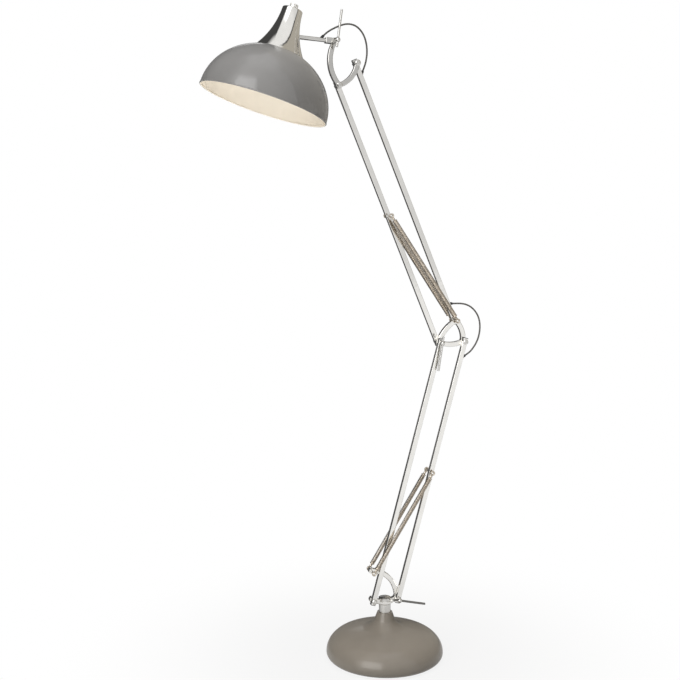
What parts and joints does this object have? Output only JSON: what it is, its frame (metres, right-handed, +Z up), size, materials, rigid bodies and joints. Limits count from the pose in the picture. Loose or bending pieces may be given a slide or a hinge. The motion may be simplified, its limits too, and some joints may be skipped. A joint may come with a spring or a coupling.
{
  "type": "spring-balanced floor lamp",
  "caption": "Tall floor lamp with spring-balanced parallelogram arms of bright square tube, a wide domed shade, bar-handled clamps and a round weighted base.",
  "frame": {"origin": "centre of the underside of the base pad", "axes": "+Z up; the arms lie in the XZ plane with the elbow toward +X and the shade toward -X; the clamp levers are on -Y"},
  "size_m": [0.7081, 0.312, 1.6242],
  "materials": {
    "base_enamel": "gloss",
    "shade_enamel": "gloss",
    "chrome": "polished",
    "bright_steel": "polished",
    "spring_steel": "satin",
    "cast_iron": "rough",
    "cast_alloy": "satin",
    "felt": "rough",
    "black_plastic": "satin",
    "cable": "satin",
    "bulb_glass": "frosted"
  },
  "bodies": {
    "root": {"base_cover": "base_enamel", "base_weight": "cast_iron", "base_pad": "felt", "base_spacer": "bright_steel", "base_foot_nut": "bright_steel", "post": "chrome", "post_cap": "chrome", "mains_gland": "black_plastic"},
    "swivel": {"swivel_bracket": "chrome", "base_pivot_washers": "bright_steel", "base_pivot_fasteners": "bright_steel", "base_spring_pin": "bright_steel", "lower_spring_near": "spring_steel", "lower_spring_far": "spring_steel"},
    "base_clamp": {"base_clamp_screw": "bright_steel", "base_clamp_lever": "bright_steel"},
    "lower_left": {"lower_left_rod": "chrome", "lower_left_rod_plugs": "black_plastic"},
    "lower_right": {"lower_right_rod": "chrome", "lower_right_rod_plugs": "black_plastic", "lower_rod_spring_studs": "bright_steel", "lower_rod_grommet": "black_plastic", "lower_rod_cable": "cable"},
    "elbow": {"elbow_frame": "chrome", "elbow_washers": "bright_steel", "elbow_pivot_fasteners": "bright_steel", "elbow_spring_pin": "bright_steel", "upper_spring_near": "spring_steel", "upper_spring_far": "spring_steel", "elbow_cable_upper": "cable", "elbow_cable_lower": "cable"},
    "elbow_clamp": {"elbow_clamp_screw": "bright_steel", "elbow_clamp_lever": "bright_steel"},
    "upper_left": {"upper_left_rod": "chrome", "upper_left_rod_plugs": "black_plastic", "upper_rod_spring_pin": "bright_steel"},
    "upper_right": {"upper_right_rod": "chrome", "upper_right_rod_plugs": "black_plastic", "upper_rod_grommets": "black_plastic", "upper_rod_cable": "cable"},
    "head_bracket": {"head_bracket": "chrome", "head_washers": "bright_steel", "head_pivot_fasteners": "bright_steel", "head_cable_front": "cable", "head_cable_rear": "cable"},
    "head_clamp": {"head_clamp_screw": "bright_steel", "head_clamp_lever": "bright_steel"},
    "head": {"head_arm": "chrome", "head_fork": "chrome", "head_grommet": "black_plastic", "head_arm_cable": "cable", "head_hub": "cast_alloy", "switch_body": "black_plastic", "lampholder": "black_plastic", "shade_ring": "black_plastic", "bulb": "bulb_glass", "shade": "shade_enamel", "shade_cap": "chrome"},
    "switch": {"switch_knob": "bright_steel"}
  },
  "joints": [
    {"name": "swivel_turn", "type": "hinge", "parent": "root", "child": "swivel", "pos_m": [0, 0, 0.1451], "axis": [0, 0, 1], "range_deg": [-170, 170]},
    {"name": "lower_arm", "type": "hinge", "parent": "swivel", "child": "lower_right", "pos_m": [0.031, 0, 0.154], "axis": [0, 1, 0], "range_deg": [-10, 30], "deforming": ["lower_spring_near", "lower_spring_far", "elbow_cable_lower"]},
    {"name": "lower_left_turn", "type": "hinge", "parent": "swivel", "child": "lower_left", "pos_m": [-0.034, 0, 0.154], "axis": [0, 1, 0], "range_deg": [-10, 30]},
    {"name": "elbow_level", "type": "hinge", "parent": "lower_right", "child": "elbow", "pos_m": [0.20436, 0, 0.81153], "axis": [0, 1, 0], "range_deg": [-30, 10]},
    {"name": "upper_arm", "type": "hinge", "parent": "elbow", "child": "upper_right", "pos_m": [0.18473, 0, 0.86484], "axis": [0, -1, 0], "range_deg": [-20, 45], "deforming": ["upper_spring_near", "upper_spring_far", "elbow_cable_upper", "head_cable_rear"]},
    {"name": "upper_left_turn", "type": "hinge", "parent": "elbow", "child": "upper_left", "pos_m": [0.13936, 0, 0.81153], "axis": [0, -1, 0], "range_deg": [-20, 45]},
    {"name": "head_level", "type": "hinge", "parent": "upper_right", "child": "head_bracket", "pos_m": [-0.07714, 0, 1.49239], "axis": [0, -1, 0], "range_deg": [-45, 20]},
    {"name": "head_tilt", "type": "hinge", "parent": "head_bracket", "child": "head", "pos_m": [-0.13231, 0, 1.54109], "axis": [0, 1, 0], "range_deg": [-8, 50], "deforming": ["head_cable_front"]},
    {"name": "base_clamp_turn", "type": "hinge", "parent": "swivel", "child": "base_clamp", "pos_m": [0.031, 0, 0.154], "axis": [0, 1, 0], "range_deg": [-70, 20]},
    {"name": "elbow_clamp_turn", "type": "hinge", "parent": "elbow", "child": "elbow_clamp", "pos_m": [0.13936, 0, 0.81153], "axis": [0, 1, 0], "range_deg": [-60, 60]},
    {"name": "head_clamp_turn", "type": "hinge", "parent": "head_bracket", "child": "head_clamp", "pos_m": [-0.13231, 0, 1.54109], "axis": [0, 1, 0], "range_deg": [-60, 60]},
    {"name": "switch_turn", "type": "hinge", "parent": "head", "child": "switch", "pos_m": [-0.2353, 0, 1.60757], "axis": [0.3132, 0, 0.9497], "range_deg": [0, 90]}
  ],
  "couplings": [
    {"joint": "lower_left_turn", "follows": "lower_arm", "ratio": 1},
    {"joint": "elbow_level", "follows": "lower_arm", "ratio": -1},
    {"joint": "upper_left_turn", "follows": "upper_arm", "ratio": 1},
    {"joint": "head_level", "follows": "upper_arm", "ratio": -1}
  ]
}
